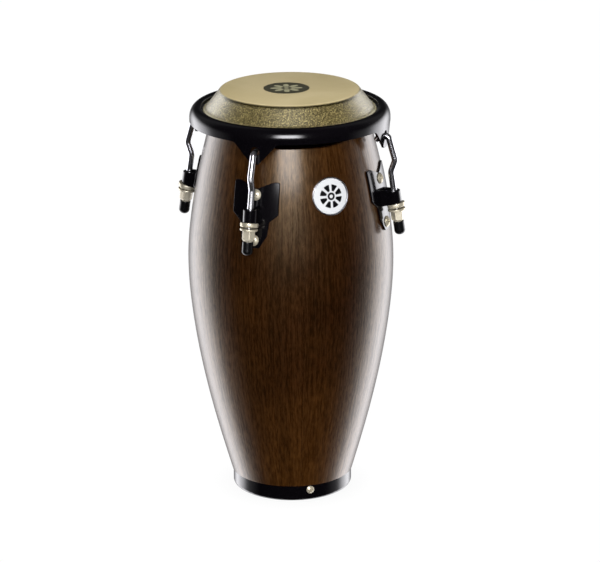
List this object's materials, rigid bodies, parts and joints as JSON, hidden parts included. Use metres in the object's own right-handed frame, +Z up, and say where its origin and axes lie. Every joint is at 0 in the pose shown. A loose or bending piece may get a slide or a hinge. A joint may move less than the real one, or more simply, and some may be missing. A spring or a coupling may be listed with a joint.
{
  "type": "mini conga drum",
  "caption": "Small free-standing conga drum: barrel-shaped stave shell with a tensioned head, hook rods, tuning nuts and a base ring.",
  "frame": {"origin": "on the floor plane at the centre of the base ring, on the drum's own axis", "axes": "+Z up along the drum's axis to the playing surface, -Y out of the badge, +X to the right of the badge seen from the front"},
  "size_m": [0.1988, 0.1988, 0.4],
  "materials": {
    "shell_wood": "gloss lacquer",
    "black_powder_coat": "gloss powder coat",
    "black_cap": "satin",
    "head_film": "fine grain",
    "plain_steel": "satin",
    "badge_enamel": "gloss",
    "chrome_rod": "polished",
    "nickel_hardware": "satin"
  },
  "bodies": {
    "drum_body": {"backing_plates": "plain_steel", "badge_bezel": "nickel_hardware", "badge_face": "badge_enamel", "base_ring": "black_powder_coat", "base_ring_screws": "nickel_hardware", "drumhead_film": "head_film", "lug_plate_front_left": "black_powder_coat", "lug_plate_front_right": "black_powder_coat", "lug_plate_rear_left": "black_powder_coat", "lug_plate_rear_right": "black_powder_coat", "lug_screw_nuts": "nickel_hardware", "lug_screws": "nickel_hardware", "rod_receiver_front_left": "black_powder_coat", "rod_receiver_front_right": "black_powder_coat", "rod_receiver_rear_left": "black_powder_coat", "rod_receiver_rear_right": "black_powder_coat", "seat_washer_front_left": "nickel_hardware", "seat_washer_front_right": "nickel_hardware", "seat_washer_rear_left": "nickel_hardware", "seat_washer_rear_right": "nickel_hardware", "stave_01": "shell_wood", "stave_02": "shell_wood", "stave_03": "shell_wood", "stave_04": "shell_wood", "stave_05": "shell_wood", "stave_06": "shell_wood", "stave_07": "shell_wood", "stave_08": "shell_wood", "stave_09": "shell_wood", "stave_10": "shell_wood", "stave_11": "shell_wood", "stave_12": "shell_wood", "stave_13": "shell_wood", "stave_14": "shell_wood", "stave_15": "shell_wood", "stave_16": "shell_wood", "stave_17": "shell_wood", "stave_18": "shell_wood", "stave_19": "shell_wood", "stave_20": "shell_wood"},
    "tension_rim": {"rim": "black_powder_coat", "head_hoop": "plain_steel"},
    "hook_front_left": {"hook_rod_front_left": "chrome_rod"},
    "nut_front_left": {"tuning_nut_front_left": "nickel_hardware", "nut_cap_front_left": "black_cap"},
    "hook_front_right": {"hook_rod_front_right": "chrome_rod"},
    "nut_front_right": {"tuning_nut_front_right": "nickel_hardware", "nut_cap_front_right": "black_cap"},
    "hook_rear_right": {"hook_rod_rear_right": "chrome_rod"},
    "nut_rear_right": {"tuning_nut_rear_right": "nickel_hardware", "nut_cap_rear_right": "black_cap"},
    "hook_rear_left": {"hook_rod_rear_left": "chrome_rod"},
    "nut_rear_left": {"tuning_nut_rear_left": "nickel_hardware", "nut_cap_rear_left": "black_cap"}
  },
  "joints": [
    {"name": "rim_travel", "type": "slide", "parent": "drum_body", "child": "tension_rim", "axis": [0, 0, -1], "range_m": [-0.003, 0.002]},
    {"name": "hook_travel_front_left", "type": "slide", "parent": "drum_body", "child": "hook_front_left", "axis": [-0.1335, -0.087, -0.9872], "range_m": [-0.0031, 0.0021]},
    {"name": "nut_turn_front_left", "type": "hinge", "parent": "drum_body", "child": "nut_front_left", "pos_m": [-0.06802, -0.06812, 0.361], "axis": [0.1335, 0.087, 0.9872], "range_deg": [-1100, 740]},
    {"name": "hook_travel_front_right", "type": "slide", "parent": "drum_body", "child": "hook_front_right", "axis": [0.1106, -0.1106, -0.9877], "range_m": [-0.0031, 0.0021]},
    {"name": "nut_turn_front_right", "type": "hinge", "parent": "drum_body", "child": "nut_front_right", "pos_m": [0.06806, -0.06806, 0.361], "axis": [-0.1106, 0.1106, 0.9877], "range_deg": [-1100, 740]},
    {"name": "hook_travel_rear_right", "type": "slide", "parent": "drum_body", "child": "hook_rear_right", "axis": [0.1106, 0.1106, -0.9877], "range_m": [-0.0031, 0.0021]},
    {"name": "nut_turn_rear_right", "type": "hinge", "parent": "drum_body", "child": "nut_rear_right", "pos_m": [0.06806, 0.06806, 0.361], "axis": [-0.1106, -0.1106, 0.9877], "range_deg": [-1100, 740]},
    {"name": "hook_travel_rear_left", "type": "slide", "parent": "drum_body", "child": "hook_rear_left", "axis": [-0.1106, 0.1106, -0.9877], "range_m": [-0.0031, 0.0021]},
    {"name": "nut_turn_rear_left", "type": "hinge", "parent": "drum_body", "child": "nut_rear_left", "pos_m": [-0.06806, 0.06806, 0.361], "axis": [0.1106, -0.1106, 0.9877], "range_deg": [-1100, 740]}
  ],
  "couplings": [
    {"joint": "hook_travel_front_left", "follows": "rim_travel", "ratio": 1.0129},
    {"joint": "nut_turn_front_left", "follows": "rim_travel", "rad_per_m": 6364.5},
    {"joint": "hook_travel_front_right", "follows": "rim_travel", "ratio": 1.0125},
    {"joint": "nut_turn_front_right", "follows": "rim_travel", "rad_per_m": 6361.5},
    {"joint": "hook_travel_rear_right", "follows": "rim_travel", "ratio": 1.0125},
    {"joint": "nut_turn_rear_right", "follows": "rim_travel", "rad_per_m": 6361.5},
    {"joint": "hook_travel_rear_left", "follows": "rim_travel", "ratio": 1.0125},
    {"joint": "nut_turn_rear_left", "follows": "rim_travel", "rad_per_m": 6361.5}
  ]
}
